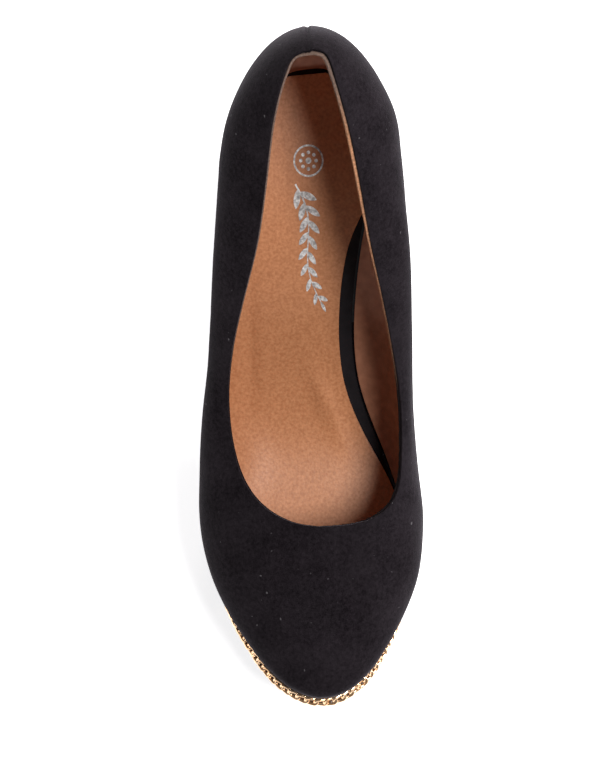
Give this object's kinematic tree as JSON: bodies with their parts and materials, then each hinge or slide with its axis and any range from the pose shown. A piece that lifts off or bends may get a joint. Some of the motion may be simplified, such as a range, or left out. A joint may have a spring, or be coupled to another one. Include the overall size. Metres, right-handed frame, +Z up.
{
  "type": "platform stiletto pump",
  "caption": "Closed-toe platform pump with a slim high heel, suede-look shell, tan sock and a gold metal chain round the platform; one right shoe.",
  "frame": {"origin": "on the floor, under the centre of the shoe's box in plan", "axes": "+X towards the toe, +Y towards the inner side of the foot, +Z up"},
  "size_m": [0.2236, 0.081, 0.1662],
  "materials": {
    "suede": "short matt nap, faux suede",
    "board": "matt black covering",
    "sock": "smooth tan with a soft sheen",
    "gold": "polished pale gold plating",
    "outsole": "fine matt grain",
    "tip": "smooth hard rubber"
  },
  "bodies": {
    "root": {"upper": "suede", "insole_board": "board", "sock": "sock", "platform": "suede", "chain": "gold", "outsole": "outsole", "heel": "suede", "heel_tip": "tip"}
  },
  "joints": []
}
